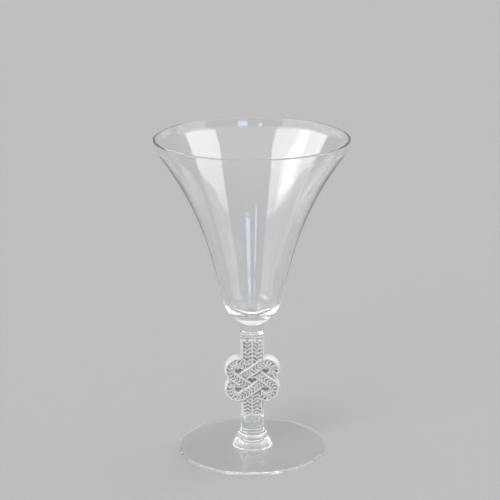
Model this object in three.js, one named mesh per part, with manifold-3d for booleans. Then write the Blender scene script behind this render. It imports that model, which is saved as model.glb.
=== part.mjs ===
// A stemmed drinking glass: a blown trumpet bowl on a pressed stem with a woven knot, a ringed
// collar and a disc foot. Millimetres, +Z up, origin on the table under the middle of the foot,
// the knot's face towards -Y.
import * as THREE from "three";
import { mergeVertices } from "three/addons/utils/BufferGeometryUtils.js";
import Module from "manifold-3d";

const wasm = await Module();
wasm.setup();

// Foot: a thin disc with a rounded edge, a little hollow underneath, rising to the collar's seat.
const foot = {
  radius: 38.15,
  edgeThickness: 2,
  discRise: 0.4,
  filletHeight: 0.6,
  filletWidth: 1.8,
  edgeRounding: 0.9,
  restWidth: 5.5,
  hollowDepth: 0.5,
};

// Collar: two rings of hot glass, one on the other, under a short neck. Each swells out past
// what stands on it.
const collar = {
  neckStep: 0.6,
  neckHeight: 1.4,
  neckRounding: 0.35,
  upperRingSwell: 1.25,
  upperRingHeight: 2.6,
  lowerRingSwell: 2.05,
  lowerRingHeight: 3.6,
};

// Stem: a round bar, pressed flat at front and back between two short round blocks. A slanting
// facet leads from the lower block to the flat, and a cove under a ledge from the upper one.
const stem = {
  lowerRadius: 5.9,
  upperRadius: 6.15,
  lowerBlockHeight: 5.2,
  upperBlockHeight: 6,
  lowerFacetHeight: 3.2,
  upperFlatHeight: 1,
  coveHeight: 1.4,
  coveOverreach: 0.35,
  shaftLength: 41.6,
  flatThickness: 7,
};

// Sunk bands on the flats, two to a face, on both sides of a narrow ridge.
const band = {
  width: 3.4,
  depth: 0.4,
  ridgeWidth: 1.4,
  endMargin: 0.5,
};

// Knot: two long loops of flat strap, as thick as the shaft, that pass over and under each other
// and leave five holes.
const knot = {
  aboveShaftBottom: 19.4,
  strapWidth: 5.75,
  holeRadius: 1.4,
  slantDegrees: 35,
  weaveLift: 0.4,
  borderWidth: 1.5,
  borderCrest: 1,
  bandDepth: 0.35,
  edgeInset: 0.35,
  edgeDrop: 0.75,
  sideDrop: 2.3,
  tuckUnder: 0.5,
};

// Bowl: solid glass at the bottom, then a wall that thins towards a turned-up lip.
const bowl = {
  height: 96,
  rimRadius: 49,
  flareRadius: 48.4,
  lipHeight: 4.6,
  lipCurve: 1.1,
  lipInset: 0.35,
  wallAtBase: 2.2,
  wallAtRim: 1.3,
  baseThickness: 6,
  hollowRounding: 5.2,
};

// The bowl's outline below the lip: share of the height to the lip, share of the flare radius.
const bowlOutlineShares = [
  [0.03, 0.2],
  [0.067, 0.263],
  [0.122, 0.307],
  [0.257, 0.366],
  [0.401, 0.437],
  [0.544, 0.526],
  [0.688, 0.643],
  [0.832, 0.791],
  [0.945, 0.93],
];

// How finely the curves are divided.
const bowlSides = 64;
const bowlSteps = 17;
const lipSteps = 3;
const hollowSteps = 5;
const footSides = 64;
const edgeSteps = 5;
const collarSides = 44;
const ringSteps = 6;
const roundingSteps = 2;
const barSides = 48;
const coveSteps = 8;
const loopArcSteps = 14;
const loopStraightSteps = 8;
const envelopeSteps = 24;

// Cutters reach this much past what they cut, and vertices closer than this are one.
const overrun = 1;
const mergeDistance = 0.0001;

const footHeight = foot.edgeThickness + foot.discRise + foot.filletHeight;
const neckRadius = stem.lowerRadius + collar.neckStep;
const upperRingRadius = neckRadius + collar.upperRingSwell;
const lowerRingRadius = upperRingRadius + collar.lowerRingSwell;
const collarHeight = collar.lowerRingHeight + collar.upperRingHeight + collar.neckHeight;
const shaftBottom = stem.lowerBlockHeight + stem.lowerFacetHeight;
const shaftTop = shaftBottom + stem.shaftLength;
const coveBottom = shaftTop + stem.upperFlatHeight;
const stemLength = coveBottom + stem.coveHeight + stem.upperBlockHeight;

const quarterTurn = Math.PI / 2;

// A closed geometry as a solid that can be joined and cut.
function solidOf(geometry) {
  geometry.deleteAttribute("normal");
  geometry.deleteAttribute("uv");
  const merged = mergeVertices(geometry, mergeDistance);
  return new wasm.Manifold(
    new wasm.Mesh({
      numProp: 3,
      vertProperties: merged.attributes.position.array,
      triVerts: new Uint32Array(merged.index.array),
    }),
  );
}

function geometryOf(solid) {
  const { vertProperties, triVerts } = solid.getMesh();
  const geometry = new THREE.BufferGeometry();
  geometry.setAttribute("position", new THREE.BufferAttribute(vertProperties, 3));
  geometry.setIndex(new THREE.BufferAttribute(triVerts, 1));
  geometry.computeVertexNormals();
  return geometry;
}

// Points on a quarter or other stretch of an ellipse, as radius and height, both ends included.
function arcPoints(radius, height, radiusReach, heightReach, from, to, steps) {
  const points = [];
  for (let i = 0; i <= steps; i++) {
    const angle = from + ((to - from) * i) / steps;
    points.push(
      new THREE.Vector2(
        radius + radiusReach * Math.cos(angle),
        height + heightReach * Math.sin(angle),
      ),
    );
  }
  return points;
}

// A turned piece: its half outline runs from the axis, up the outside and back to the axis.
function turned(outline, sides) {
  return new THREE.LatheGeometry(outline, sides).rotateX(quarterTurn);
}

function footOutline() {
  const restRadius = foot.radius - foot.edgeRounding;
  const filletRadius = lowerRingRadius + foot.filletWidth;
  const discTop = foot.edgeThickness + foot.discRise;
  return [
    new THREE.Vector2(0, foot.hollowDepth),
    new THREE.Vector2((restRadius - foot.restWidth) / 2, (foot.hollowDepth * 3) / 4),
    new THREE.Vector2(restRadius - foot.restWidth, 0),
    ...arcPoints(
      restRadius,
      foot.edgeThickness / 2,
      foot.edgeRounding,
      foot.edgeThickness / 2,
      -quarterTurn,
      quarterTurn,
      edgeSteps,
    ),
    ...arcPoints(
      filletRadius,
      footHeight,
      foot.filletWidth,
      footHeight - discTop,
      -quarterTurn,
      -2 * quarterTurn,
      edgeSteps,
    ),
    new THREE.Vector2(0, footHeight),
  ];
}

function collarOutline() {
  const undercut = -Math.PI / 3;
  const upperReach = collar.upperRingHeight / (1 - Math.sin(undercut));
  const creaseRadius = neckRadius + collar.upperRingSwell * Math.cos(undercut);
  const upperTop = collar.lowerRingHeight + collar.upperRingHeight;
  return [
    new THREE.Vector2(0, 0),
    ...arcPoints(
      creaseRadius,
      0,
      lowerRingRadius - creaseRadius,
      collar.lowerRingHeight,
      0,
      quarterTurn,
      ringSteps,
    ),
    ...arcPoints(
      neckRadius,
      upperTop - upperReach,
      collar.upperRingSwell,
      upperReach,
      undercut,
      quarterTurn,
      ringSteps,
    ).slice(1),
    ...arcPoints(
      neckRadius - collar.neckRounding,
      collarHeight - collar.neckRounding,
      collar.neckRounding,
      collar.neckRounding,
      0,
      quarterTurn,
      roundingSteps,
    ),
    new THREE.Vector2(0, collarHeight),
  ];
}

// The outside of the bowl, from its seat on the stem to the edge of the rim.
function bowlOutside() {
  const flareHeight = bowl.height - bowl.lipHeight;
  const knots = bowlOutlineShares.map(
    ([heightShare, radiusShare]) =>
      new THREE.Vector2(bowl.flareRadius * radiusShare, flareHeight * heightShare),
  );
  const wall = new THREE.SplineCurve([
    new THREE.Vector2(stem.upperRadius, 0),
    ...knots,
    new THREE.Vector2(bowl.flareRadius, flareHeight),
  ]).getPoints(bowlSteps);
  const lip = new THREE.QuadraticBezierCurve(
    new THREE.Vector2(bowl.flareRadius, flareHeight),
    new THREE.Vector2(bowl.rimRadius - bowl.lipInset, flareHeight + bowl.lipCurve),
    new THREE.Vector2(bowl.rimRadius, bowl.height - bowl.wallAtRim / 2),
  ).getPoints(lipSteps);
  return [...wall, ...lip.slice(1)];
}

function bowlOutline() {
  const outside = bowlOutside();
  const hollowTop = bowl.baseThickness + bowl.hollowRounding;
  const top = bowl.height - bowl.wallAtRim / 2;
  const wallAt = (height) =>
    THREE.MathUtils.mapLinear(height, hollowTop, top, bowl.wallAtBase, bowl.wallAtRim);
  const inside = outside
    .filter((point) => point.y > hollowTop)
    .map((point) => new THREE.Vector2(point.x - wallAt(point.y), point.y))
    .reverse();
  const lowest = inside.at(-1);
  const hollowRadius = lowest.x - (lowest.y - hollowTop) * bowlLean(outside, hollowTop);
  return [
    new THREE.Vector2(0, 0),
    ...outside,
    new THREE.Vector2(bowl.rimRadius - bowl.wallAtRim / 2, bowl.height),
    ...inside,
    ...arcPoints(
      0,
      hollowTop,
      hollowRadius,
      bowl.hollowRounding,
      0,
      -quarterTurn,
      hollowSteps,
    ),
  ];
}

// How fast the outside widens with height at the level given.
function bowlLean(outside, height) {
  const above = outside.findIndex((point) => point.y > height);
  const upper = outside[above];
  const lower = outside[above - 1];
  return (upper.x - lower.x) / (upper.y - lower.y);
}

// The cove as depth and height, from the flat out past the round bar.
function coveSide(halfFlat) {
  const outward = stem.upperRadius + stem.coveOverreach - halfFlat;
  const points = [];
  for (let i = 0; i <= coveSteps; i++) {
    const share = i / coveSteps;
    const depth = halfFlat + outward * THREE.MathUtils.smoothstep(share, 0, 1);
    points.push([depth, coveBottom + stem.coveHeight * share]);
  }
  return points;
}

// The round bar with its flats, facets and coves, cut to the shape seen from the side.
function stemBar() {
  const bar = new THREE.CylinderGeometry(
    stem.upperRadius,
    stem.lowerRadius,
    stemLength,
    barSides,
  );
  bar.rotateX(quarterTurn).translate(0, 0, stemLength / 2);

  const halfFlat = stem.flatThickness / 2;
  const reach = Math.max(stem.upperRadius, stem.lowerRadius) + overrun;
  const lowerSlope = stem.lowerFacetHeight / (stem.lowerRadius - halfFlat);
  const rightSide = [
    [reach, -overrun],
    [reach, shaftBottom - (reach - halfFlat) * lowerSlope],
    [halfFlat, shaftBottom],
    ...coveSide(halfFlat),
    [reach, coveBottom + stem.coveHeight],
    [reach, stemLength + overrun],
  ];
  const leftSide = rightSide.map(([depth, height]) => [-depth, height]).reverse();
  const sideView = new THREE.Shape(
    [...rightSide, ...leftSide].map(([depth, height]) => new THREE.Vector2(depth, height)),
  );
  const keep = new THREE.ExtrudeGeometry(sideView, { depth: 2 * reach, bevelEnabled: false });
  keep.translate(0, 0, -reach);
  keep.applyMatrix4(
    new THREE.Matrix4().makeBasis(
      new THREE.Vector3(0, 1, 0),
      new THREE.Vector3(0, 0, 1),
      new THREE.Vector3(1, 0, 0),
    ),
  );
  return solidOf(bar).intersect(solidOf(keep));
}

// The four sunk bands, two on the front and two on the back.
function bandCutters() {
  const length = stem.shaftLength - 2 * band.endMargin;
  const middle = (shaftBottom + shaftTop) / 2;
  const cutters = [];
  for (const side of [-1, 1]) {
    for (const face of [-1, 1]) {
      const cutter = new THREE.BoxGeometry(band.width, 2 * band.depth, length);
      cutter.translate(
        (side * (band.ridgeWidth + band.width)) / 2,
        (face * stem.flatThickness) / 2,
        middle,
      );
      cutters.push(solidOf(cutter));
    }
  }
  return cutters;
}

// Half the distance between the end holes of one loop. The crossing strap's edge then passes
// each end hole as closely as the loop's own edge does.
function loopReach() {
  const crossing = THREE.MathUtils.degToRad(2 * knot.slantDegrees);
  return (knot.strapWidth + 2 * knot.holeRadius) / Math.sin(crossing);
}

// The strap's cross-section as distance from the hole and depth: two smooth borders with a
// sunk band between them, the same on the front and on the back.
function strapSection() {
  const halfWidth = knot.strapWidth / 2;
  const halfThickness = stem.flatThickness / 2;
  const edge = [
    [halfWidth, halfThickness - knot.sideDrop],
    [halfWidth - knot.edgeInset, halfThickness - knot.edgeDrop],
    [halfWidth - knot.borderCrest, halfThickness],
    [halfWidth - knot.borderWidth, halfThickness - knot.bandDepth],
  ];
  const mirrored = edge.map(([across, depth]) => [-across, depth]).reverse();
  const back = [...edge, ...mirrored];
  const front = back.map(([across, depth]) => [-across, -depth]);
  return [...back, ...front];
}

// Stations along a loop's middle line, in its own plane: place and direction away from the hole.
function loopStations(reach, radius) {
  const stations = [];
  for (const end of [1, -1]) {
    for (let i = 0; i < loopArcSteps; i++) {
      const angle = -quarterTurn + (Math.PI * i) / loopArcSteps;
      const across = new THREE.Vector2(end * Math.cos(angle), end * Math.sin(angle));
      const place = across.clone().multiplyScalar(radius);
      place.x += end * reach;
      stations.push({ place, across });
    }
    for (let i = 0; i < loopStraightSteps; i++) {
      const along = end * reach * (1 - (2 * i) / loopStraightSteps);
      const across = new THREE.Vector2(0, end);
      stations.push({ place: new THREE.Vector2(along, end * radius), across });
    }
  }
  return stations;
}

// One loop of strap. It lies deepest where it goes under the other loop and stands proud where
// it goes over: slant is 1 or -1, and the loop with slant 1 is over at the top and the bottom.
function strapLoop(slant) {
  const tilt = slant * THREE.MathUtils.degToRad(knot.slantDegrees);
  const section = strapSection();
  const stations = loopStations(loopReach(), knot.holeRadius + knot.strapWidth / 2);
  const origin = new THREE.Vector2(0, 0);
  const positions = [];
  const faces = [];
  stations.forEach(({ place, across }, i) => {
    place.rotateAround(origin, tilt);
    across.rotateAround(origin, tilt);
    const weave = slant * knot.weaveLift * Math.cos(2 * place.angle());
    for (const [offset, depth] of section) {
      positions.push(place.x + across.x * offset, depth + weave, place.y + across.y * offset);
    }
    const next = (i + 1) % stations.length;
    for (let j = 0; j < section.length; j++) {
      const beside = (j + 1) % section.length;
      const here = i * section.length;
      const ahead = next * section.length;
      faces.push(here + j, here + beside, ahead + j);
      faces.push(ahead + j, here + beside, ahead + beside);
    }
  });
  const geometry = new THREE.BufferGeometry();
  geometry.setAttribute("position", new THREE.Float32BufferAttribute(positions, 3));
  geometry.setIndex(faces);
  return solidOf(geometry);
}

// The space that a loop takes up, with its middle filled, a little smaller than the loop.
function loopEnvelope(slant) {
  const reach = loopReach();
  const radius = knot.holeRadius + knot.strapWidth - knot.tuckUnder;
  const depth = stem.flatThickness + 2 * overrun;
  const outline = new THREE.Shape();
  outline.absarc(reach, 0, radius, -quarterTurn, quarterTurn);
  outline.absarc(-reach, 0, radius, quarterTurn, 3 * quarterTurn);
  const filled = new THREE.ExtrudeGeometry(outline, {
    depth,
    bevelEnabled: false,
    curveSegments: envelopeSteps,
  });
  filled.translate(0, 0, -depth / 2);
  filled.rotateZ(slant * THREE.MathUtils.degToRad(knot.slantDegrees));
  filled.rotateX(quarterTurn);
  return solidOf(filled);
}

// The whole pressed stem: the bar stops under the loops, and the loops are woven together.
function stemGeometry() {
  const knotHeight = shaftBottom + knot.aboveShaftBottom;
  let bar = stemBar();
  for (const cutter of bandCutters()) {
    bar = bar.subtract(cutter);
  }
  bar = bar.translate([0, 0, -knotHeight]);
  for (const slant of [1, -1]) {
    bar = bar.subtract(loopEnvelope(slant));
  }
  for (const slant of [1, -1]) {
    bar = bar.add(strapLoop(slant));
  }
  return geometryOf(bar.translate([0, 0, knotHeight]));
}

function glass(color, roughness, opacity) {
  return new THREE.MeshStandardMaterial({
    color,
    roughness,
    metalness: 0,
    transparent: true,
    opacity,
  });
}

function part(name, geometry, material, height) {
  const mesh = new THREE.Mesh(geometry, material);
  mesh.name = name;
  mesh.position.z = height;
  return mesh;
}

const drinkingGlass = new THREE.Group();
drinkingGlass.add(
  part("foot", turned(footOutline(), footSides), glass(0xdfe5e6, 0.05, 0.3), 0),
  part("stem_collar", turned(collarOutline(), collarSides), glass(0xe6ebec, 0.04, 0.35), footHeight),
  part("stem", stemGeometry(), glass(0xd3d8d8, 0.45, 0.85), footHeight + collarHeight),
  part(
    "bowl",
    turned(bowlOutline(), bowlSides),
    glass(0xe9eef0, 0.03, 0.25),
    footHeight + collarHeight + stemLength,
  ),
);

export default drinkingGlass;
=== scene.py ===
# %% [markdown]
# A stemmed drinking glass: a blown trumpet bowl, a pressed stem with a woven strap knot, a ringed
# collar and a disc foot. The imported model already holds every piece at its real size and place.
# Here each piece gets a finer skin, fire-polished edges, the herringbone ribs of the pressed stem
# and its glass. The sizes that the frame can tell are read from it, so that nothing has to be fitted.

# %% Load the frame
import math

import bmesh
import bpy
import numpy as np
from mathutils import Euler, Matrix, Vector


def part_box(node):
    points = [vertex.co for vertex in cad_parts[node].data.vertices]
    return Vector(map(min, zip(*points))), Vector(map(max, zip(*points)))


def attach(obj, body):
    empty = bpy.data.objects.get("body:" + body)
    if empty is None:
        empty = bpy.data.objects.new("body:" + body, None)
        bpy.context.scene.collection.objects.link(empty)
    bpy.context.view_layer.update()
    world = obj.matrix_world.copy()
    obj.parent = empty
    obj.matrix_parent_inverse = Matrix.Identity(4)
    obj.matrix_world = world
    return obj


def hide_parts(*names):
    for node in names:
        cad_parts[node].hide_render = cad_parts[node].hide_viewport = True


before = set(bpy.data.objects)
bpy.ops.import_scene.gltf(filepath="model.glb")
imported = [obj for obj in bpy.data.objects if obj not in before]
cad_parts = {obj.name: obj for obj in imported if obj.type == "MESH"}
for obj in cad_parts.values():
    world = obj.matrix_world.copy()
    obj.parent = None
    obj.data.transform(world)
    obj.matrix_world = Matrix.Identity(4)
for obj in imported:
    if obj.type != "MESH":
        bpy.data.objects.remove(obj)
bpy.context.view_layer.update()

MM = 0.001
print("pieces in the frame:", sorted(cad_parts))

# %% [markdown]
# Sizes come first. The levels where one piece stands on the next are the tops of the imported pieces,
# and the radii are half their widths. Only what a box can't tell, such as a rounding or the depth of
# a band, is a named size of its own, in millimetres times MM.

# %% Levels and radii from the frame
foot_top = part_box("foot")[1].z
collar_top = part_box("stem_collar")[1].z
stem_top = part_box("stem")[1].z
rim_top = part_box("bowl")[1].z
foot_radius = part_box("foot")[1].x
lower_ring_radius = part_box("stem_collar")[1].x
rim_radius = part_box("bowl")[1].x
piece_tops = {"foot": foot_top, "collar": collar_top, "stem": stem_top, "rim": rim_top}
print("tops in mm:", {name: round(top / MM, 2) for name, top in piece_tops.items()})

# %% [markdown]
# The camera stands where the photographer stood: nearly a metre away, a little above the rim, with a
# long lens. It could be moved by eye until the picture looks right. Here its numbers are set, because
# they were found more closely by matching the ellipses of the rim and the foot.

# %% Camera
camera_place = Vector((-1.0, -846.6, 353.8)) * MM
look_down = math.radians(16.256)
camera_roll = math.radians(-0.16)
lens_length = 126.04
sensor_width = 36


def new_object(name, data):
    """An object in the scene for a mesh, a lamp or a camera."""
    holder = bpy.data.objects.new(name, data)
    bpy.context.scene.collection.objects.link(holder)
    return holder


camera_data = bpy.data.cameras.new("camera")
camera_data.lens = lens_length
camera_data.sensor_width = sensor_width
camera = new_object("camera", camera_data)
aim = Euler((math.pi / 2 - look_down, 0, 0)).to_matrix() @ Matrix.Rotation(camera_roll, 3, "Z")
camera.matrix_world = Matrix.Translation(camera_place) @ aim.to_4x4()
bpy.context.scene.camera = camera
bpy.context.scene.view_settings.view_transform = "Standard"
print("camera at", [round(c, 3) for c in camera_place])

# %% [markdown]
# The room, the materials and the trees of Geometry Nodes are all made of nodes. They could be clicked
# together in Blender's editors, but in a script each of them can be read from top to bottom. A helper
# adds one node and fills its inputs, and two more do so for the kinds that are needed most.

# %% Node helpers
def add_node(tree, kind, inputs=(), **settings):
    """A new node. Each input, by name or number, gets an output socket or a plain value."""
    node = tree.nodes.new(kind)
    for key, value in settings.items():
        setattr(node, key, value)
    for key, value in dict(inputs).items():
        if isinstance(value, bpy.types.NodeSocket):
            tree.links.new(value, node.inputs[key])
        else:
            node.inputs[key].default_value = value
    return node


def add_math(tree, operation, *values):
    """The output of a Math node for plain values or output sockets."""
    return add_node(tree, "ShaderNodeMath", enumerate(values), operation=operation).outputs[0]


def map_range(tree, value, old, new, **settings):
    """A value that is moved from one pair of limits to another."""
    limits = {"From Min": old[0], "From Max": old[1], "To Min": new[0], "To Max": new[1]}
    node = add_node(tree, "ShaderNodeMapRange", {"Value": value, **limits}, **settings)
    return node.outputs["Result"]


def new_material(name, sockets=()):
    """A material, its tree, and its Principled shader with some of its sockets set."""
    material = bpy.data.materials.new(name)
    material.use_nodes = True
    shader = material.node_tree.nodes["Principled BSDF"]
    for socket, value in dict(sockets).items():
        shader.inputs[socket].default_value = value
    return material, material.node_tree, shader


# %% [markdown]
# A glass shows mostly what stands round it, so the studio matters more than for any other material.
# The table is pale grey and dull, a plain square that reaches far behind the glass.

# %% Table
table_grey = 0.45
table_tint = 1.01
table_roughness = 0.9
table_reach = 6.0
table_gap = 0.05 * MM


def new_mesh(name, points, edges, faces):
    mesh = bpy.data.meshes.new(name)
    mesh.from_pydata(points, edges, faces)
    return mesh


table_finish = {
    "Base Color": (table_grey, table_grey, table_grey * table_tint, 1),
    "Roughness": table_roughness,
    "Specular IOR Level": 0.0,
}
corner_signs = [(-1, -1), (1, -1), (1, 1), (-1, 1)]
corners = [(x * table_reach, y * table_reach, -table_gap) for x, y in corner_signs]
table_mesh = new_mesh("table", corners, [], [range(len(corners))])
table_mesh.materials.append(new_material("table", table_finish)[0])
table = new_object("table", table_mesh)
print("table grey", table_grey)

# %% [markdown]
# The room is as grey as the table at eye level, so that the table's far edge can't be seen through the
# glass, and grows white overhead, where it shows as a soft sheen. An image of a real room would do as
# well, but a formula keeps the studio plain: the world's light grows with the height that a ray looks.

# %% Room
room_grey = 0.45
room_white = 1.1
grey_up_to = math.radians(20)
white_from = math.radians(50)
room_on_matt = 0.6


def studio_room():
    """Grey at eye level and white overhead. Matt things get a share of it, and lamps add the rest."""
    world = bpy.data.worlds.new("room")
    world.use_nodes = True
    tree = world.node_tree
    direction = add_node(tree, "ShaderNodeTexCoord").outputs["Generated"]
    height = add_node(tree, "ShaderNodeSeparateXYZ", {0: direction}).outputs["Z"]
    limits = (math.sin(grey_up_to), math.sin(white_from))
    light = map_range(
        tree, height, limits, (room_grey, room_white), interpolation_type="SMOOTHSTEP"
    )
    rays = add_node(tree, "ShaderNodeLightPath").outputs
    in_glass = add_math(tree, "MAXIMUM", rays["Is Glossy Ray"], rays["Is Transmission Ray"])
    seen = add_math(tree, "MAXIMUM", rays["Is Camera Ray"], in_glass)
    share = add_math(tree, "MAXIMUM", seen, room_on_matt)
    background = tree.nodes["Background"].inputs
    background["Color"].default_value = (1, 1, 1, 1)
    tree.links.new(add_math(tree, "MULTIPLY", light, share), background["Strength"])
    return world


bpy.context.scene.world = studio_room()
print("room: from", room_grey, "to", room_white)

# %% [markdown]
# Two wide soft suns shape the frosted glass and the table: one from the front left, and one from the
# right, a little behind. Point lamps would leave hard spots, and these don't show in the glass at all.

# %% Soft suns
def around(azimuth, elevation, distance):
    """A place round the glass: azimuth 0 is towards the camera, and grows to the right."""
    turn, rise = math.radians(azimuth), math.radians(elevation)
    flat = distance * math.cos(rise)
    return Vector((flat * math.sin(turn), -flat * math.cos(turn), distance * math.sin(rise)))


def aimed(place, target):
    """The matrix of a lamp at a place that shines at a target."""
    turn = (target - place).to_track_quat("-Z", "Y")
    return Matrix.Translation(place) @ turn.to_matrix().to_4x4()


def soft_sun(name, azimuth, elevation, strength, spread):
    lamp = bpy.data.lights.new(name, "SUN")
    lamp.energy = strength * math.pi
    lamp.angle = math.radians(spread)
    holder = new_object(name, lamp)
    holder.matrix_world = aimed(around(azimuth, elevation, 1), Vector())
    holder.visible_glossy = False
    holder.visible_transmission = False


soft_sun("soft_key", azimuth=-38, elevation=32, strength=0.55, spread=40)
soft_sun("soft_fill", azimuth=118, elevation=36, strength=0.55, spread=60)

# %% [markdown]
# The broad streaks in a real glass are windows that mirror in it. Here they are upright panels, 3 metres
# away at both sides, hidden from the camera and from matt things. They could be glowing sheets of
# mesh, but an area lamp has its size and its light as plain settings. The panes near the table are
# dim, because the foot mirrors them and would turn plain white, and those above are bright, for the
# bowl and all the edges. Two on the left glow warm, and two narrow cool ones flank the camera.

# %% Windows
glass_middle = Vector((0, 0, 0.11))
window_distance = 3.0
table_clearance = 0.01
cool, warm = (0.5, 0.68, 1.0), (1.0, 0.9, 0.74)


def window(name, azimuths, elevations, radiance, color=(1, 1, 1)):
    """An upright lit panel between two azimuths and two elevations, as the glass sees it."""
    middle, half = sum(azimuths) / 2, math.radians(abs(azimuths[1] - azimuths[0]) / 2)
    reach = window_distance / math.cos(half)
    low, high = (glass_middle.z + reach * math.tan(math.radians(e)) for e in elevations)
    low = max(low, table_clearance)
    lamp = bpy.data.lights.new(name, "AREA")
    lamp.shape = "RECTANGLE"
    lamp.size, lamp.size_y = 2 * window_distance * math.tan(half), high - low
    lamp.energy = radiance * math.pi * lamp.size * lamp.size_y
    lamp.color = color
    holder = new_object(name, lamp)
    place = around(middle, 0, window_distance) + Vector((0, 0, (low + high) / 2))
    holder.matrix_world = aimed(place, Vector((0, 0, place.z)))
    holder.visible_camera = False
    holder.visible_diffuse = False


side_panes = [((-2, 18), 0.9), ((18, 26), 1.7), ((26, 53), 3.5)]

window("left_window_low", azimuths=(-78, -38), elevations=(-2, 22), radiance=1.2)
window("left_window_high", azimuths=(-78, -38), elevations=(22, 53), radiance=3.5)
window("right_window_low", azimuths=(58, 80), elevations=(-2, 22), radiance=1.2)
window("right_window_high", azimuths=(58, 80), elevations=(22, 50), radiance=3.5)
for elevations, radiance in side_panes:
    window(f"left_side_{elevations[0]}", (-118, -78), elevations, radiance)
    window(f"right_side_{elevations[0]}", (80, 104), elevations, radiance)
window("warm_glow", azimuths=(-92, -57), elevations=(22, 44), radiance=2.0, color=warm)
window("warm_core", azimuths=(-84, -64), elevations=(27, 39), radiance=2.5, color=warm)
window("wide_cool_strip", azimuths=(5, 17), elevations=(5, 25), radiance=4.5, color=cool)
window("narrow_cool_strip", azimuths=(-13, -8.5), elevations=(7, 29), radiance=4.5, color=cool)

# %% [markdown]
# Light runs a long way inside a thick glass, mirrored from face to face, before it leaves again. Where
# the renderer gives up on a ray too early, the glass turns black, so it gets leave to follow it longer.

# %% Long light paths
longest_path = 40
longest_of_a_kind = 32

paths = bpy.context.scene.cycles
paths.max_bounces = longest_path
paths.glossy_bounces = longest_of_a_kind
paths.transmission_bounces = longest_of_a_kind
paths.transparent_max_bounces = longest_of_a_kind
print("longest path:", paths.max_bounces, "bounces")

# %% [markdown]
# Clear glass is a Principled shader that lets everything through, with the index of refraction of
# table glass. The Glass shader would look much the same, but other programs understand this one too.
# The foot's glass is a touch dull, which evens out the light that gathers in its thick rim. Lamps
# can't find their way through a bent surface, so a second, plainly transparent shader takes over for
# shadow rays, and the shadow on the table stays as light as a glass's shadow is. The pieces are fused
# hot, so nothing shows where one ends and the next begins: the faces that touch get a fully
# transparent material.

# %% Clear glass and fused joints
clear_ior = 1.52


def let_lamps_through(tree, shader, tint):
    """Shows the shader, but lets light on its way from a lamp pass straight, with a tint."""
    rays = add_node(tree, "ShaderNodeLightPath").outputs
    through = add_node(tree, "ShaderNodeBsdfTransparent", {"Color": (*tint, 1)})
    seen = shader
    for ray in ("Is Diffuse Ray", "Is Shadow Ray"):
        mixed = {"Fac": rays[ray], 1: seen.outputs[0], 2: through.outputs[0]}
        seen = add_node(tree, "ShaderNodeMixShader", mixed)
    tree.links.new(seen.outputs[0], tree.nodes["Material Output"].inputs["Surface"])


def clear_glass(name, color, shadow, roughness):
    finish = {
        "Base Color": (*color, 1),
        "Roughness": roughness,
        "IOR": clear_ior,
        "Transmission Weight": 1.0,
    }
    material, tree, shader = new_material(name, finish)
    let_lamps_through(tree, shader, shadow)
    return material


bowl_glass = clear_glass(
    "clear_bowl_glass", color=(0.97, 0.98, 0.98), shadow=(0.95, 0.955, 0.955), roughness=0.0
)
foot_glass = clear_glass(
    "clear_foot_glass", color=(0.96, 0.975, 0.97), shadow=(0.94, 0.945, 0.945), roughness=0.04
)

fused_joint, joint_tree, joint_shader = new_material("fused_joint")
joint_through = add_node(joint_tree, "ShaderNodeBsdfTransparent")
joint_tree.links.new(joint_through.outputs[0], joint_tree.nodes["Material Output"].inputs["Surface"])
joint_tree.nodes.remove(joint_shader)
print("materials:", [m.name for m in bpy.data.materials])

# %% [markdown]
# The stem's middle was dulled with acid after pressing. Such glass still lets light through, but
# scatters it: a rough transmission with a share of plain white. The acid works less in the hollows
# between the ribs, so they stay clearer, and they get painted shade: a darker colour, darkest in the
# holes. This could be painted on by hand, but the ribs are too many, so a value on each vertex,
# measured later, tells the material where the hollows are.

# %% Frosted glass
frosted_ior = 1.5
see_through = 0.22
grain_scale = 900
grain_detail = 2
grain_limits = (0.35, 0.65)
patch_limits = (0.45, 1.25)
face_color = (0.95, 0.96, 0.965)
# the colour of the painted shade in the hollows and the holes
painted_shade_color = (0.22, 0.235, 0.25)
tone_stops = [(0.15, face_color), (0.95, painted_shade_color)]
dullness_limits = (0.5, 0.25)
grain_bump = 0.25
grain_depth = 0.1 * MM
frosted_shadow = (0.45, 0.46, 0.47)


def frosted_glass():
    material, tree, shader = new_material(
        "frosted_stem_glass", {"IOR": frosted_ior, "Transmission Weight": see_through}
    )
    # The hollow attribute carries painted shade: the ramp runs from the plain face colour to the painted
    # shade colour.
    hollow = add_node(tree, "ShaderNodeAttribute", attribute_name="hollow").outputs["Fac"]
    place = add_node(tree, "ShaderNodeTexCoord").outputs["Object"]
    noise = {"Vector": place, "Scale": grain_scale, "Detail": grain_detail}
    grain = add_node(tree, "ShaderNodeTexNoise", noise).outputs["Fac"]
    patches = map_range(tree, grain, grain_limits, patch_limits)
    uneven = add_math(tree, "MULTIPLY", hollow, patches)
    tone = add_node(tree, "ShaderNodeValToRGB", {"Fac": uneven})
    for stop, (position, color) in zip(tone.color_ramp.elements, tone_stops):
        stop.position = position
        stop.color = (*color, 1)
    dullness = map_range(tree, hollow, (0, 1), dullness_limits)
    relief = {"Strength": grain_bump, "Distance": grain_depth, "Height": grain}
    bump = add_node(tree, "ShaderNodeBump", relief)
    tree.links.new(tone.outputs["Color"], shader.inputs["Base Color"])
    tree.links.new(dullness, shader.inputs["Roughness"])
    tree.links.new(bump.outputs["Normal"], shader.inputs["Normal"])
    let_lamps_through(tree, shader, frosted_shadow)
    return material


frosted = frosted_glass()
print("frosted glass:", len(frosted.node_tree.nodes), "nodes")

# %% [markdown]
# Geometry Nodes make every shape that follows a rule. Each tree is built here by a function, with
# named inputs for its sizes. The helpers below start and end a tree, run it on a mesh and keep the
# result as a plain mesh, so that no modifier is left on a finished piece.

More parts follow.
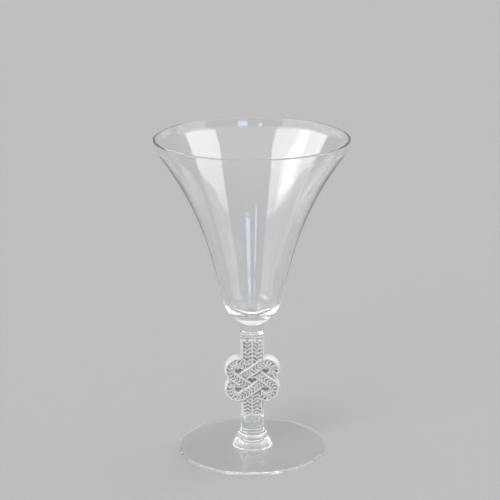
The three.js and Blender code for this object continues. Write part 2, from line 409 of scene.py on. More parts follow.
# %% Tree helpers
def new_tree(name, inputs):
    tree = bpy.data.node_groups.new(name, "GeometryNodeTree")
    tree.interface.new_socket("Geometry", in_out="INPUT", socket_type="NodeSocketGeometry")
    for label, kind in inputs:
        tree.interface.new_socket(label, in_out="INPUT", socket_type="NodeSocket" + kind)
    tree.interface.new_socket("Geometry", in_out="OUTPUT", socket_type="NodeSocketGeometry")
    return tree, tree.nodes.new("NodeGroupInput"), tree.nodes.new("NodeGroupOutput")


def finish_tree(tree, geometry, given, result):
    """The end of every tree: smooth shading, real copies and the piece's material."""
    smooth = add_node(tree, "GeometryNodeSetShadeSmooth", {"Geometry": geometry})
    real = add_node(tree, "GeometryNodeRealizeInstances", {"Geometry": smooth.outputs[0]})
    paint = {"Geometry": real.outputs[0], "Material": given.outputs["Material"]}
    painted = add_node(tree, "GeometryNodeSetMaterial", paint)
    tree.links.new(painted.outputs[0], result.inputs[0])
    print(tree.name, "tree:", len(tree.nodes), "nodes")


def take_mesh(name, holder):
    """The evaluated mesh of a helper object, which is then removed."""
    bpy.context.view_layer.update()
    evaluated = holder.evaluated_get(bpy.context.evaluated_depsgraph_get())
    result = bpy.data.meshes.new_from_object(evaluated)
    result.name = name
    bpy.data.objects.remove(holder)
    return result


def run_tree(name, mesh, tree, values):
    """Runs a tree on a mesh and returns the result as a plain mesh."""
    holder = new_object(name, mesh)
    modifier = holder.modifiers.new(name, "NODES")
    modifier.node_group = tree
    sockets = {s.name: s.identifier for s in tree.interface.items_tree if s.in_out == "INPUT"}
    for label, value in values.items():
        modifier[sockets[label]] = value
    return take_mesh(name, holder)


def line_mesh(name, points, closed=False):
    """Points joined in a row by edges."""
    edges = [(i, i + 1) for i in range(len(points) - 1)]
    if closed:
        edges.append((len(points) - 1, 0))
    return new_mesh(name, [tuple(p) for p in points], edges, [])


# %% [markdown]
# The foot, the collar and the bowl are turned shapes. Blender's Screw modifier could make them. Here a
# flat grid is wrapped round the axis instead, because one tree then serves all three: each row of the
# grid takes its radius and height from one point of the outline, and the ends that meet are merged,
# which also closes the poles.

# %% The turning tree
merge_reach = 0.002 * MM


def turning_tree():
    tree, given, result = new_tree(
        "turned", [("Sides", "Int"), ("Points", "Int"), ("Material", "Material")]
    )
    rows = given.outputs["Points"]
    columns = add_math(tree, "ADD", given.outputs["Sides"], 1)
    unit_grid = {"Size X": 1, "Size Y": 1, "Vertices X": columns, "Vertices Y": rows}
    grid = add_node(tree, "GeometryNodeMeshGrid", unit_grid)
    position = add_node(tree, "GeometryNodeInputPosition").outputs[0]
    place = add_node(tree, "ShaderNodeSeparateXYZ", {0: position}).outputs
    turn_share = add_math(tree, "ADD", place["X"], 0.5)
    outline_share = add_math(tree, "ADD", place["Y"], 0.5)
    last = add_math(tree, "SUBTRACT", rows, 1)
    index = add_math(tree, "ROUND", add_math(tree, "MULTIPLY", outline_share, last))
    outline = add_node(
        tree,
        "GeometryNodeSampleIndex",
        {"Geometry": given.outputs["Geometry"], "Value": position, "Index": index},
        data_type="FLOAT_VECTOR",
        domain="POINT",
    )
    point = add_node(tree, "ShaderNodeSeparateXYZ", {0: outline.outputs[0]}).outputs
    angle = add_math(tree, "MULTIPLY", turn_share, math.tau)
    spot = {"Z": point["Z"]}
    for axis, operation in (("X", "COSINE"), ("Y", "SINE")):
        spot[axis] = add_math(tree, "MULTIPLY", add_math(tree, operation, angle), point["X"])
    wrapped = add_node(
        tree,
        "GeometryNodeSetPosition",
        {
            "Geometry": grid.outputs["Mesh"],
            "Position": add_node(tree, "ShaderNodeCombineXYZ", spot).outputs[0],
        },
    )
    closed = add_node(
        tree,
        "GeometryNodeMergeByDistance",
        {"Geometry": wrapped.outputs[0], "Distance": merge_reach},
    )
    finish_tree(tree, closed.outputs[0], given, result)
    return tree


turning = turning_tree()

# %% [markdown]
# Every turned mesh is checked: a negative volume means that its faces point inwards, and they are
# turned round. Edges that fold by more than a set angle are kept sharp. The flat faces at a joint's
# level get the transparent material of the fused joints.

# %% Outward faces, crisp edges and fused joints
fold_angle = math.radians(32)
level_enough = 0.999
joint_reach = 0.001 * MM


def read_rows(items, name, width, kind=float):
    """One property of all vertices, edges or triangles of a mesh, as the rows of an array."""
    values = np.empty(len(items) * width, kind)
    items.foreach_get(name, values)
    return values.reshape(-1, width)


def signed_volume(mesh):
    mesh.calc_loop_triangles()
    places = read_rows(mesh.vertices, "co", 3)
    corners = read_rows(mesh.loop_triangles, "vertices", 3, int)
    a, b, c = places[corners].transpose(1, 0, 2)
    return float(np.einsum("ij,ij->i", a, np.cross(b, c)).sum() / 6)


def face_outwards(mesh):
    if signed_volume(mesh) < 0:
        mesh.flip_normals()
    mesh.set_sharp_from_angle(angle=fold_angle)
    return mesh


def mark_joints(mesh, joints):
    """Gives the flat faces at the joints' levels the fused material, which is the mesh's last one."""
    for face in mesh.polygons:
        at_joint = any(abs(face.center.z - joint) < joint_reach for joint in joints)
        if at_joint and abs(face.normal.z) > level_enough:
            face.material_index = len(mesh.materials) - 1


def turned_mesh(name, outline, sides, material, joints):
    points = [(radius, 0, height) for radius, height in outline]
    mesh = run_tree(
        name,
        line_mesh(name + "_outline", points),
        turning,
        {"Sides": sides, "Points": len(points), "Material": material},
    )
    face_outwards(mesh)
    mesh.materials.clear()
    mesh.materials.append(material)
    mesh.materials.append(fused_joint)
    mark_joints(mesh, joints)
    print(name, len(mesh.polygons), "faces,", round(signed_volume(mesh) / MM**3), "cubic mm")
    return mesh


# %% [markdown]
# An outline is a list of radius and height. It could be drawn as a curve by hand, but arcs of an
# ellipse and straight lines between named sizes keep every rounding true.

# %% Arcs and straight lines
def arc(center, reach, start, end, steps):
    """Points on an ellipse from one angle in degrees to another, both included."""
    turns = np.radians(np.linspace(start, end, steps + 1))
    return [
        (center[0] + reach[0] * math.cos(t), center[1] + reach[1] * math.sin(t)) for t in turns
    ]


def straight(start, end, steps):
    """Points on a line, without its two ends."""
    shares = np.linspace(0, 1, steps + 1)[1:-1]
    return [tuple(np.array(start) + (np.array(end) - np.array(start)) * s) for s in shares]


print("the middle of a line:", straight((0, 0), (2, 4), 2))

# %% [markdown]
# The foot is a thin disc that thickens a little towards the collar. Underneath it is hollow, so that
# it rests on a ring near the edge and never rocks. Its edge is rounded with many small steps, because
# the light in a thick rim shows every corner.

# %% Foot
edge_thickness = 2.0 * MM
edge_rounding = 0.9 * MM
disc_rise = 0.4 * MM
fillet_width = 1.8 * MM
rest_width = 5.5 * MM
hollow_depth = 0.5 * MM
foot_sides = 480
edge_steps = 40
disc_steps = 24
fillet_steps = 12
hollow_steps = 32
flat_steps = 6


def foot_outline():
    rest_radius = foot_radius - edge_rounding
    disc_top = edge_thickness + disc_rise
    fillet_radius = lower_ring_radius + fillet_width
    hollow_radius = rest_radius - rest_width
    hollow = [
        (hollow_radius * s, hollow_depth * math.cos(s * math.pi / 2) ** 2)
        for s in np.linspace(0, 1, hollow_steps + 1)
    ]
    half_edge = edge_thickness / 2
    edge = arc((rest_radius, half_edge), (edge_rounding, half_edge), -90, 90, edge_steps)
    fillet_reach = (fillet_width, foot_top - disc_top)
    fillet = arc((fillet_radius, foot_top), fillet_reach, -90, -180, fillet_steps)
    floor_ring = straight(hollow[-1], edge[0], flat_steps)
    disc = straight(edge[-1], fillet[0], disc_steps)
    seat = straight(fillet[-1], (0, foot_top), flat_steps)
    return [*hollow, *floor_ring, *edge, *disc, *fillet, *seat, (0, foot_top)]


foot_mesh = turned_mesh("foot_disc", foot_outline(), foot_sides, foot_glass, [foot_top])

# %% [markdown]
# The collar is two rings of hot glass, pressed one on the other, under a short neck. Two squashed balls
# and a rod could stand for it, but as one outline the rings meet in a clean crease, and that crease
# is what catches the light. Each ring bulges like a drop.

# %% Collar
neck_radius = 6.5 * MM
upper_ring_radius = 7.75 * MM
lower_ring_height = 3.6 * MM
upper_ring_height = 2.6 * MM
neck_rounding = 0.35 * MM
undercut = 60
collar_sides = 192
ring_steps = 28
seat_steps = 8


def collar_outline():
    bulge = upper_ring_radius - neck_radius
    crease = neck_radius + bulge * math.cos(math.radians(undercut))
    upper_reach = upper_ring_height / (1 + math.sin(math.radians(undercut)))
    upper_middle = foot_top + lower_ring_height + upper_ring_height - upper_reach
    lower_reach = (lower_ring_radius - crease, lower_ring_height)
    lower = arc((crease, foot_top), lower_reach, 0, 90, ring_steps)
    upper = arc((neck_radius, upper_middle), (bulge, upper_reach), -undercut, 90, ring_steps)
    top_middle = (neck_radius - neck_rounding, collar_top - neck_rounding)
    top = arc(top_middle, (neck_rounding, neck_rounding), 0, 90, flat_steps)
    return [
        (0, foot_top),
        *straight((0, foot_top), lower[0], seat_steps),
        *lower,
        *upper[1:],
        *straight(upper[-1], top[0], flat_steps),
        *top,
        *straight(top[-1], (0, collar_top), seat_steps),
        (0, collar_top),
    ]


collar_mesh = turned_mesh(
    "ringed_collar", collar_outline(), collar_sides, foot_glass, [foot_top, collar_top]
)

# %% [markdown]
# The bowl was blown, and its wall is one smooth sweep from the stem to the rim. Straight pieces
# between a few circles would show as bands in the glass. So a curve through a few heights, given as
# shares of the flare, is made smooth by a natural cubic spline. The inside follows the outside, less a
# wall that thins upwards, and ends in a round hollow over solid glass.

# %% Bowl sizes
flare_radius = 48.4 * MM
lip_height = 4.6 * MM
lip_curve = 1.1 * MM
lip_inset = 0.35 * MM
wall_at_base = 2.2 * MM
wall_at_rim = 1.3 * MM
base_thickness = 6.0 * MM
hollow_rounding = 5.2 * MM
hollow_pull = 0.62
bowl_seat_radius = 6.15 * MM
bowl_sides = 224
wall_points = 120
lip_steps = 14
rim_steps = 14
outline_shares = [
    (0.03, 0.2),
    (0.067, 0.263),
    (0.122, 0.307),
    (0.257, 0.366),
    (0.401, 0.437),
    (0.544, 0.526),
    (0.688, 0.643),
    (0.832, 0.791),
    (0.945, 0.93),
]
print("bowl height in mm:", round((rim_top - stem_top) / MM, 1))


# %% Smooth curve through points
def cubic_through(xs, ys, at):
    """A natural cubic spline through points, read at other places."""
    xs, ys, at = (np.array(v, float) for v in (xs, ys, at))
    step = np.diff(xs)
    slope = np.diff(ys) / step
    count = len(xs)
    system = np.eye(count)
    right = np.zeros(count)
    for i in range(1, count - 1):
        system[i, i - 1 : i + 2] = step[i - 1], 2 * (step[i - 1] + step[i]), step[i]
        right[i] = 6 * (slope[i] - slope[i - 1])
    bend = np.linalg.solve(system, right)
    k = np.clip(np.searchsorted(xs, at) - 1, 0, count - 2)
    a, b, h = xs[k + 1] - at, at - xs[k], step[k]
    curve = (bend[k] * a**3 + bend[k + 1] * b**3) / (6 * h)
    return curve + (ys[k] / h - bend[k] * h / 6) * a + (ys[k + 1] / h - bend[k + 1] * h / 6) * b


print("half way up a hill of 0, 1, 0:", cubic_through((0, 1, 2), (0, 1, 0), (0.5,)).round(3))


# %% Bowl
def bowl_outside():
    flare_height = rim_top - stem_top - lip_height
    knots = [(0, bowl_seat_radius)]
    knots += [(h * flare_height, r * flare_radius) for h, r in outline_shares]
    knots += [(flare_height, flare_radius)]
    lengths = np.cumsum([0] + [math.dist(a, b) for a, b in zip(knots, knots[1:])])
    walk = np.linspace(0, lengths[-1], wall_points)
    heights = cubic_through(lengths, [k[0] for k in knots], walk)
    radii = cubic_through(lengths, [k[1] for k in knots], walk)
    start = np.array((flare_radius, flare_height))
    bend = np.array((rim_radius - lip_inset, flare_height + lip_curve))
    end = np.array((rim_radius, rim_top - stem_top - wall_at_rim / 2))
    lip = [
        tuple(start * (1 - t) ** 2 + bend * 2 * t * (1 - t) + end * t**2)
        for t in np.linspace(0, 1, lip_steps + 1)[1:]
    ]
    return [*zip(radii, heights), *lip]


def bowl_outline():
    outside = bowl_outside()
    hollow_top = base_thickness + hollow_rounding
    top = rim_top - stem_top - wall_at_rim / 2
    inside = []
    for radius, height in outside:
        share = (height - hollow_top) / (top - hollow_top)
        if share > 0:
            inside.append((radius - wall_at_base - (wall_at_rim - wall_at_base) * share, height))
    inside.reverse()
    low, above = np.array(inside[-1]), np.array(inside[-2])
    lean = (low - above) / np.linalg.norm(low - above)
    bottom = np.array((0, base_thickness))
    grip = low + lean * hollow_rounding * hollow_pull
    rest = bottom + np.array((low[0] * hollow_pull, 0))
    hollow = []
    for t in np.linspace(0, 1, hollow_steps + 1)[1:]:
        first_half = low * (1 - t) ** 3 + grip * 3 * t * (1 - t) ** 2
        hollow.append(tuple(first_half + rest * 3 * t * t * (1 - t) + bottom * t**3))
    half_wall = wall_at_rim / 2
    rim = arc((rim_radius - half_wall, top), (half_wall, half_wall), 0, 180, rim_steps)
    seat = straight((0, 0), outside[0], seat_steps)
    outline = [(0, 0), *seat, *outside, *rim[1:-1], *inside, *hollow]
    return [(radius, stem_top + height) for radius, height in outline]


bowl_mesh = turned_mesh("trumpet_bowl", bowl_outline(), bowl_sides, bowl_glass, [stem_top])

# %% [markdown]
# The stem is one pressed piece, but it has two finishes. Its ends are clear round blocks that lead to
# the flat shaft at front and back: the lower one by a slanting facet over a small ledge, and the upper
# one by a cove under a ledge. They could be cut from a round bar, but a cut leaves a hard edge. Here a
# cross-section is a circle and two lines, and a soft minimum of the two rounds the edge between them,
# as fire does.

# %% Stem sizes
lower_radius = 5.9 * MM
upper_radius = 6.15 * MM
flat_depth = 3.5 * MM
lower_block_height = 8.4 * MM
shaft_length = 41.6 * MM
shaft_low = collar_top + lower_block_height
shaft_high = shaft_low + shaft_length
lower_facet = 2.6 * MM
lower_facet_depth = 4.7 * MM
lower_cove_height = 0.9 * MM
upper_flat = 1.0 * MM
upper_cove_height = 1.4 * MM
edge_softness = 0.35 * MM
block_sides = 192
ring_step = 0.4 * MM
cove_steps = 16
print("shaft in mm: from", round(shaft_low / MM, 2), "to", round(shaft_high / MM, 2))


# %% The blocks' profiles
def bar_radius(height):
    share = (height - collar_top) / (stem_top - collar_top)
    return lower_radius + (upper_radius - lower_radius) * share


def levels_between(low, high):
    """Evenly spaced heights, both ends included."""
    count = max(2, round((high - low) / ring_step) + 1)
    return [float(level) for level in np.linspace(low, high, count)]


def cove(start, height, inner, outer):
    """Heights and half depths from a flat out to a ledge. A negative height leads downwards."""
    return [
        (start + height * share, inner + (outer - inner) * share**2 * (3 - 2 * share))
        for share in np.linspace(0, 1, cove_steps + 1)
    ]


def lower_profile():
    """Heights and half depths of the lower block: round, a ledge, and a facet that slants in."""
    facet_low = shaft_low - lower_facet
    full = lower_radius + edge_softness
    ledge = cove(facet_low, -lower_cove_height, lower_facet_depth, full)[::-1]
    round_part = [(level, full) for level in levels_between(collar_top, ledge[0][0])[:-1]]
    slope = (lower_facet_depth - flat_depth) / lower_facet
    facet_levels = levels_between(facet_low, shaft_low)[1:]
    facet = [(level, flat_depth + (shaft_low - level) * slope) for level in facet_levels]
    return round_part + ledge + facet


def upper_profile():
    """Heights and half depths of the upper block: flat, then a cove out to the ledge, then round."""
    cove_low = shaft_high + upper_flat
    full = upper_radius + edge_softness
    flat = [(level, flat_depth) for level in levels_between(shaft_high, cove_low)]
    ledge = cove(cove_low, upper_cove_height, flat_depth, full)
    round_part = [(level, full) for level in levels_between(ledge[-1][0], stem_top)]
    return flat + ledge[1:] + round_part[1:]


print("levels of the blocks:", len(lower_profile()), "and", len(upper_profile()))

# %% Clear blocks
end_steps = 8
nearly_nothing = 1e-6


def soft_least(a, b, width):
    """The smaller of two lengths, rounded where they are nearly equal."""
    return min(a, b) - max(width - abs(a - b), 0) ** 2 / (4 * width)


def ring_faces(first, count):
    """The faces between two rings of points, the lower of which starts at the point first."""
    following = [(i + 1) % count for i in range(count)]
    return [
        (first + i, first + j, first + count + j, first + count + i)
        for i, j in enumerate(following)
    ]


def block_mesh(name, profile):
    """A clear end of the stem, as rings of points from its lower to its upper face."""
    (low, low_depth), (high, high_depth) = profile[0], profile[-1]
    shares = np.linspace(0, 1, end_steps + 1)[1:-1]
    rings = [(low, low_depth, s) for s in shares]
    rings += [(height, depth, 1) for height, depth in profile]
    rings += [(high, high_depth, s) for s in reversed(shares)]
    points = [(0, 0, low)]
    for height, depth, share in rings:
        radius = bar_radius(height)
        for turn in np.linspace(0, math.tau, block_sides, endpoint=False):
            flat = depth / max(abs(math.sin(turn)), nearly_nothing)
            reach = share * soft_least(radius, flat, edge_softness)
            points.append((reach * math.cos(turn), reach * math.sin(turn), height))
    points.append((0, 0, high))
    faces = []
    for ring in range(len(rings) - 1):
        faces += ring_faces(1 + ring * block_sides, block_sides)
    last = 1 + (len(rings) - 1) * block_sides
    for i in range(block_sides):
        j = (i + 1) % block_sides
        faces.append((0, 1 + j, 1 + i))
        faces.append((len(points) - 1, last + i, last + j))
    mesh = new_mesh(name, points, [], faces)
    mesh.shade_smooth()
    return face_outwards(mesh)


lower_block = block_mesh("lower_block", lower_profile())
upper_block = block_mesh("upper_block", upper_profile())
print("clear blocks:", len(lower_block.polygons) + len(upper_block.polygons), "faces")

# %% [markdown]
# The knot is two long loops of flat strap, woven over and under each other. It could be carved from a
# plate, but swept straps keep their width wherever they cross. One tree sweeps the strap's
# cross-section along a loop's middle line, which rises and dips as it goes over and under.
# The loops are made lying down, where up is the strap's face, and then stood upright.

# %% Knot sizes
knot_rise = 19.4 * MM
knot_height = shaft_low + knot_rise
strap_width = 6.0 * MM
hole_radius = 1.15 * MM
slant = math.radians(35)
weave_lift = 0.4 * MM
border_width = 1.6 * MM
border_crest = 1.0 * MM
band_depth = 0.36 * MM
side_drop = 2.3 * MM
middle_radius = hole_radius + strap_width / 2
loop_reach = (strap_width + 2 * hole_radius) / math.sin(2 * slant)
loop_steps = 40


def loop_line(side):
    """The middle line of one loop, lying down: side is 1 or -1, for its slant."""
    points = []
    for end in (1, -1):
        for turn in np.linspace(-math.pi / 2, math.pi / 2, loop_steps, endpoint=False):
            reach = loop_reach + middle_radius * math.cos(turn)
            points.append((end * reach, end * middle_radius * math.sin(turn)))
        for along in np.linspace(1, -1, loop_steps, endpoint=False):
            points.append((end * along * loop_reach, end * middle_radius))
    tilt = side * slant
    lifted = []
    for x, y in points:
        across = x * math.cos(tilt) - y * math.sin(tilt)
        up = x * math.sin(tilt) + y * math.cos(tilt)
        lift = -side * weave_lift * math.cos(2 * math.atan2(up, across))
        lifted.append((across, up, lift))
    return lifted


print("a loop's middle line is", round(2 * (loop_reach + middle_radius) / MM, 1), "mm from end to end")

# %% The strap's cross-section
rise_power = 1.2
rise_steps = 5
fall_steps = 8


def strap_section():
    """The whole outline, made from one quarter of it.

    The quarter runs from the band's floor up to the border's crest and round the side.
    """
    half = strap_width / 2
    crest = half - border_crest
    wall = half - border_width
    floor_depth = flat_depth - band_depth
    quarter = []
    for s in np.linspace(0, 1, rise_steps + 1):
        rise = band_depth * math.sin(s * math.pi / 2) ** rise_power
        quarter.append((wall + (crest - wall) * s, floor_depth + rise))
    for t in np.linspace(0, math.pi / 2, fall_steps + 1)[1:]:
        fall = side_drop * (1 - math.cos(t))
        quarter.append((crest + border_crest * math.sin(t), flat_depth - fall))
    right = quarter + [(x, -y) for x, y in reversed(quarter)]
    return right + [(-x, -y) for x, y in right]


print("strap's cross-section:", len(strap_section()), "points")


# %% The sweeping tree
def strap_tree():
    tree, given, result = new_tree("strap", [("Section", "Object"), ("Material", "Material")])
    line = add_node(tree, "GeometryNodeMeshToCurve", {"Mesh": given.outputs["Geometry"]})
    level = add_node(
        tree, "GeometryNodeSetCurveNormal", {"Curve": line.outputs[0]}, mode="Z_UP"
    )
    section = add_node(tree, "GeometryNodeObjectInfo", {"Object": given.outputs["Section"]})
    section_line = add_node(
        tree, "GeometryNodeMeshToCurve", {"Mesh": section.outputs["Geometry"]}
    )
    swept = add_node(
        tree,
        "GeometryNodeCurveToMesh",
        {"Curve": level.outputs[0], "Profile Curve": section_line.outputs[0]},
    )
    finish_tree(tree, swept.outputs[0], given, result)
    return tree


section_points = [(x, y, 0) for x, y in strap_section()]
strap_profile = new_object("strap_profile", line_mesh("strap_profile", section_points, closed=True))
sweep = strap_tree()
straps = [
    run_tree(
        f"strap_{name}",
        line_mesh(f"loop_{name}", loop_line(side), closed=True),
        sweep,
        {"Section": strap_profile, "Material": frosted},
    )
    for side, name in ((1, "rising"), (-1, "falling"))
]
print("straps:", [len(mesh.polygons) for mesh in straps])

# %% [markdown]
# The herringbone ribs repeat along every band. They could be modelled one by one, but they are all
# alike, so they are copies of one small V-shaped bar, set at even steps along the band's middle line.
# The tree turns each copy to the line's direction and puts one on the front and one on the back.

# %% One rib
rib_width = 0.85 * MM
rib_half_crest = 0.22 * rib_width
rib_height = 0.34 * MM
rib_root = 0.4 * MM
rib_pitch = 1.95 * MM
strap_rib_pitch = 1.7 * MM
rib_drop = 1.1 * MM
rib_end_sink = 0.1 * MM


def chevron_mesh(name, half_band, floor_depth):
    """A V of glass across a band: its point leads along X, and its foot is sunk in the floor."""
    section = [
        (-rib_width / 2, -rib_root),
        (-rib_width / 2, 0),
        (-rib_half_crest, rib_height),
        (rib_half_crest, rib_height),
        (rib_width / 2, 0),
        (rib_width / 2, -rib_root),
    ]
    points = []
    for across, back in ((-1, 1), (0, 0), (1, 1)):
        for along, height in section:
            points.append((along - back * rib_drop, across * half_band, floor_depth + height))
    count = len(section)
    faces = [tuple(range(count)), tuple(reversed(range(2 * count, 3 * count)))]
    for row in range(2):
        faces += [(b, a, d, c) for a, b, c, d in ring_faces(row * count, count)]
    return face_outwards(new_mesh(name, points, [], faces))


strap_half_band = strap_width / 2 - border_width + rib_end_sink
strap_rib = new_object(
    "strap_rib", chevron_mesh("strap_rib", strap_half_band, flat_depth - band_depth)
)
print("a rib on a strap is", round(2 * strap_half_band / MM, 2), "mm wide")


# %% Ribs on the straps
def rib_tree():
    tree, given, result = new_tree(
        "ribs", [("Rib", "Object"), ("Count", "Int"), ("Material", "Material")]
    )
    line = add_node(tree, "GeometryNodeMeshToCurve", {"Mesh": given.outputs["Geometry"]})
    steps = add_node(
        tree,
        "GeometryNodeResampleCurve",
        {"Curve": line.outputs[0], "Count": given.outputs["Count"]},
    )
    rib = add_node(tree, "GeometryNodeObjectInfo", {"Object": given.outputs["Rib"]})
    direction = add_node(tree, "GeometryNodeInputTangent")
    both = add_node(tree, "GeometryNodeJoinGeometry")
    for up in (1, -1):
        turn = add_node(
            tree,
            "FunctionNodeAxesToRotation",
            {0: (0, 0, up), 1: direction.outputs[0]},
            primary_axis="Z",
            secondary_axis="X",
        )
        copies = add_node(
            tree,
            "GeometryNodeInstanceOnPoints",
            {
                "Points": steps.outputs[0],
                "Instance": rib.outputs["Geometry"],
                "Rotation": turn.outputs[0],
            },
        )
        tree.links.new(copies.outputs[0], both.inputs[0])
    finish_tree(tree, both.outputs[0], given, result)
    return tree


ribbing = rib_tree()
loop_length = math.tau * middle_radius + 4 * loop_reach
loop_ribs = round(loop_length / strap_rib_pitch)
strap_ribs = [
    run_tree(
        f"strap_ribs_{side}",
        line_mesh("rib_line", loop_line(side), closed=True),
        ribbing,
        {"Rib": strap_rib, "Count": loop_ribs, "Material": frosted},
    )
    for side in (1, -1)
]
print("ribs on a loop:", loop_ribs, "at front and at back")

# %% [markdown]
# The shaft is a flat bar with two sunk bands on each face and a narrow ridge between them. A bar that
# runs through would close the holes of the knot, so it is made in two stretches that end under the
# loops. It is made lying down like the straps, with its length along Y.

# %% The shaft's ends and its cross-section
band_width = 3.75 * MM
shaft_band_depth = 0.38 * MM
ridge_width = 1.3 * MM
band_slope = 0.3 * MM
band_lip_drop = 0.05 * MM
tuck = 0.8 * MM
side_steps = 12


def loops_edge(x):
    """How far the loops reach up from the knot's middle at a distance x from the axis."""
    x = abs(x)
    radius = hole_radius + strap_width - tuck
    corner = loop_reach * math.cos(slant) - radius * math.sin(slant)
    if x < corner:
        return x * math.tan(slant) + radius / math.cos(slant)
    center_x, center_y = loop_reach * math.cos(slant), loop_reach * math.sin(slant)
    return center_y + math.sqrt(radius**2 - (x - center_x) ** 2)


def shaft_section(radius):
    """Right half of the face as distance from the axis and depth, from the ridge to the side."""
    inner, outer = ridge_width / 2, ridge_width / 2 + band_width
    floor_depth = flat_depth - shaft_band_depth
    lip_depth = flat_depth - band_lip_drop
    corner = math.sqrt(radius**2 - (flat_depth - edge_softness) ** 2)
    start = math.degrees(math.atan2(flat_depth - edge_softness, corner))
    return [
        (0, flat_depth),
        (inner - band_slope, lip_depth),
        (inner, floor_depth),
        (outer, floor_depth),
        (outer + band_slope, lip_depth),
        (corner - edge_softness, flat_depth),
        *arc((0, 0), (radius, radius), start, 0, side_steps),
    ]


print("the loops reach", round(loops_edge(0) / MM, 2), "mm up from the knot's middle at the axis")

# %% Shaft
overlap = 1.0 * MM
shaft_steps = 24


def shaft_ring(side, far, share):
    """The outline of the bar at a share of the way from the loops to the far end."""
    quarter = []
    for x, depth in shaft_section(bar_radius(knot_height + side * far * share)):
        near = loops_edge(x)
        quarter.append((x, side * (near + (far - near) * share), depth))
    right = quarter + [(x, y, -depth) for x, y, depth in reversed(quarter[:-1])]
    left = [(-x, y, -depth) for x, y, depth in quarter[1:]]
    left += [(-x, y, depth) for x, y, depth in reversed(quarter[1:-1])]
    return right + left


def end_faces(first, count, order):
    """Closes an end of the bar with strips from its front to its back, right and left of the axis.

    The order is 1 or -1, for the way round of each strip's corners. Two that are the same are merged.
    """
    half = count // 2
    strips = []
    for a in range(half // 2):
        b = a + 1
        strips.append((a, b, half - b, half - a))
        strips.append(((count - b) % count, (count - a) % count, half + a, half + b))
    return [tuple(dict.fromkeys(first + corner for corner in strip[::order])) for strip in strips]


def shaft_mesh(name, side):
    """One stretch of the shaft: side is 1 above the knot and -1 below it."""
    far = (shaft_high - knot_height if side > 0 else knot_height - shaft_low) + overlap
    rings = [shaft_ring(side, far, share) for share in np.linspace(0, 1, shaft_steps + 1)]
    count = len(rings[0])
    faces = []
    for row in range(shaft_steps):
        faces += ring_faces(row * count, count)
    faces += end_faces(0, count, 1)
    faces += end_faces(shaft_steps * count, count, -1)
    mesh = new_mesh(name, [point for ring in rings for point in ring], [], faces)
    mesh.validate()
    return face_outwards(mesh)


shafts = [shaft_mesh("shaft_above", 1), shaft_mesh("shaft_below", -1)]
print("shaft volume in cubic mm:", [round(signed_volume(m) / MM**3) for m in shafts])

# %% Ribs on the shaft
rib_run_in = 1.5 * MM

shaft_rib = new_object(
    "shaft_rib", chevron_mesh("shaft_rib", band_width / 2, flat_depth - shaft_band_depth)
)
shaft_ribs = []
for side, far in ((1, shaft_high - knot_height), (-1, knot_height - shaft_low)):
    for across in (-1, 1):
        x = across * (ridge_width + band_width) / 2
        near = loops_edge(x) - rib_run_in
        line = line_mesh("band_line", [(x, side * far, 0), (x, side * near, 0)])
        count = round((far - near) / rib_pitch) + 1
        band = {"Rib": shaft_rib, "Count": count, "Material": frosted}
        shaft_ribs.append(run_tree("shaft_ribs", line, ribbing, band))
print("ribs on the shaft:", len(shaft_ribs), "bands")

# %% [markdown]
# Everything is now fused into one skin, as the glass is one piece. Cutting and joining solids exactly
# would leave hard seams. A voxel remesh melts them together instead, and its small steps vanish under
# the frost. The ends are then cut flat, where the clear blocks begin.

# %% Fuse the frosted part
voxel = 0.23 * MM
soften_share = 0.5
soften_rounds = 3
on_the_cut = 1e-9


def join_meshes(name, meshes):
    whole = bmesh.new()
    for mesh in meshes:
        whole.from_mesh(mesh)
    joined = bpy.data.meshes.new(name)
    whole.to_mesh(joined)
    whole.free()
    return joined


def cut_flat(mesh, low, high):
    """Cuts off what stands out below and above two levels, and closes the ends."""
    body = bmesh.new()
    body.from_mesh(mesh)
    for height, direction in ((low, -1), (high, 1)):
        everything = [*body.verts, *body.edges, *body.faces]
        bmesh.ops.bisect_plane(
            body,
            geom=everything,
            dist=on_the_cut,
            plane_co=(0, 0, height),
            plane_no=(0, 0, direction),
            clear_outer=True,
        )
        open_edges = [edge for edge in body.edges if edge.is_boundary]
        bmesh.ops.holes_fill(body, edges=open_edges, sides=0)
    bmesh.ops.triangulate(body, faces=[f for f in body.faces if len(f.verts) > 4])
    bmesh.ops.recalc_face_normals(body, faces=body.faces)
    body.to_mesh(mesh)
    body.free()
    return mesh


knot_parts = join_meshes("knot_parts", [*straps, *strap_ribs, *shafts, *shaft_ribs])
upright = Matrix.Translation((0, 0, knot_height)) @ Matrix.Rotation(math.pi / 2, 4, "X")
knot_parts.transform(upright)
fused = new_object("fused", knot_parts)
remesh = fused.modifiers.new("fuse", "REMESH")
remesh.mode = "VOXEL"
remesh.voxel_size = voxel
remesh.use_smooth_shade = True
soften = fused.modifiers.new("soften", "SMOOTH")
soften.factor = soften_share
soften.iterations = soften_rounds
knot_mesh = cut_flat(take_mesh("woven_shaft", fused), shaft_low, shaft_high)
for helper in (strap_profile, strap_rib, shaft_rib):
    bpy.data.objects.remove(helper)
print("frosted skin:", len(knot_mesh.polygons), "faces")

# %% [markdown]
# The frosted glass gets painted shade in its hollows, where it is also clearer, and the darkest painted
# shade in the holes. Ambient occlusion could find them at render time, but only in some renderers, so
# the mesh itself stores the answer. A smoothed copy of the surface fills the hollows, and how far a
# vertex lies below it tells how deep it sits. Away from the two faces, a plain side gets painted light,
# nearly white, against the shade the lamps leave on it, and the wall of a hole gets dark painted shade.

# %% Painted shade in the hollows and the holes
# painted light on the plain sides and painted shade on the walls of the holes, on the scale of the
# hollows
side_painted_light = 0.1
hole_painted_shade = 1.0
smoothing_rounds = 23
full_hollow = 0.16 * MM
face_reach = 1.1 * MM
face_fade = 0.5 * MM
hole_border = 0.25 * MM
hole_fade = 0.3 * MM
shown_shares = (0.05, 0.25, 0.5, 0.75, 0.95)


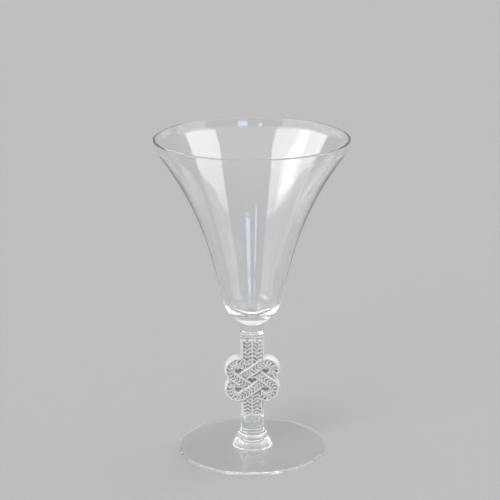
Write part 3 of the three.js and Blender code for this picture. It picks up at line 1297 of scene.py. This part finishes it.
def to_loop_axis(places):
    """Each point's distance from the nearer loop's long axis, seen from the front."""
    x, up = places[:, 0], places[:, 2] - knot_height
    distances = []
    for side in (1, -1):
        along = x * math.cos(slant) + side * up * math.sin(slant)
        across = -side * x * math.sin(slant) + up * math.cos(slant)
        distances.append(np.hypot(np.maximum(np.abs(along) - loop_reach, 0), across))
    return np.minimum(*distances)


def filled_surface(mesh, places):
    """The vertices' places, each moved half way to the middle of its neighbours, many times."""
    count = len(places)
    a, b = read_rows(mesh.edges, "vertices", 2, int).T
    neighbours = np.bincount(a, minlength=count) + np.bincount(b, minlength=count)
    smooth = places.copy()
    for _ in range(smoothing_rounds):
        total = np.zeros_like(smooth)
        for axis in range(3):
            column = smooth[:, axis]
            total[:, axis] = np.bincount(a, column[b], count) + np.bincount(b, column[a], count)
        smooth = (smooth + total / neighbours[:, None]) / 2
    return smooth


def add_painted_shade(mesh):
    """Stores painted shade by how deep each vertex sits, from 0 on a crest over 0.5 on a flat to 1 in a
    hollow.
    """
    places = read_rows(mesh.vertices, "co", 3)
    normals = read_rows(mesh.vertices, "normal", 3)
    below = np.einsum("ij,ij->i", filled_surface(mesh, places) - places, normals)
    near_face = np.clip((np.abs(places[:, 1]) - flat_depth + face_reach) / face_fade, 0, 1)
    hole_shade_share = np.clip((hole_radius + hole_border - to_loop_axis(places)) / hole_fade, 0, 1)
    # painted light on the sides, painted shade in the holes
    side_and_hole_shade = side_painted_light + (hole_painted_shade - side_painted_light) * hole_shade_share
    depths = np.clip(0.5 + below / (2 * full_hollow), 0, 1) * near_face + side_and_hole_shade * (1 - near_face)
    attribute = mesh.attributes.new("hollow", "FLOAT", "POINT")
    attribute.data.foreach_set("value", depths.astype(np.float32))
    return depths


depths = add_painted_shade(knot_mesh)
print("hollow values:", [round(float(np.quantile(depths, share)), 2) for share in shown_shares])

# %% [markdown]
# The stem is one object with three skins that touch face to face: the clear lower block, the frosted
# middle and the clear upper block. One skin with two materials would do as well, but then the smooth
# blocks would have to share the rough grain of the remesh. Where the skins touch, the fused material
# hides the faces.

# %% The whole stem
stem_fold_angle = math.radians(60)


def stem_whole():
    whole = bmesh.new()
    for mesh, slot in ((knot_mesh, 0), (lower_block, 1), (upper_block, 1)):
        start = len(whole.faces)
        whole.from_mesh(mesh)
        whole.faces.ensure_lookup_table()
        for face in whole.faces[start:]:
            face.material_index = slot
            face.smooth = True
    mesh = bpy.data.meshes.new("woven_stem")
    whole.to_mesh(mesh)
    whole.free()
    for material in (frosted, foot_glass, fused_joint):
        mesh.materials.append(material)
    mark_joints(mesh, (collar_top, shaft_low, shaft_high, stem_top))
    mesh.set_sharp_from_angle(angle=stem_fold_angle)
    return mesh


stem_mesh = stem_whole()
print("stem:", sum(len(face.vertices) - 2 for face in stem_mesh.polygons), "triangles")

# %% [markdown]
# Each finished piece rides on the object's one body and takes the place of its imported node, which
# is hidden. Beside each stands the name of a material slot in the record.

# %% Place the pieces
for piece_name, mesh, node, slot in (
    ("foot_disc", foot_mesh, "foot", "foot_glass"),
    ("ringed_collar", collar_mesh, "stem_collar", "foot_glass"),
    ("woven_stem", stem_mesh, "stem", "stem_glass"),
    ("trumpet_bowl", bowl_mesh, "bowl", "bowl_glass"),
):
    piece = new_object(piece_name, mesh)
    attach(piece, "root")
    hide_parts(node)
    print(piece_name, "stands for", node)
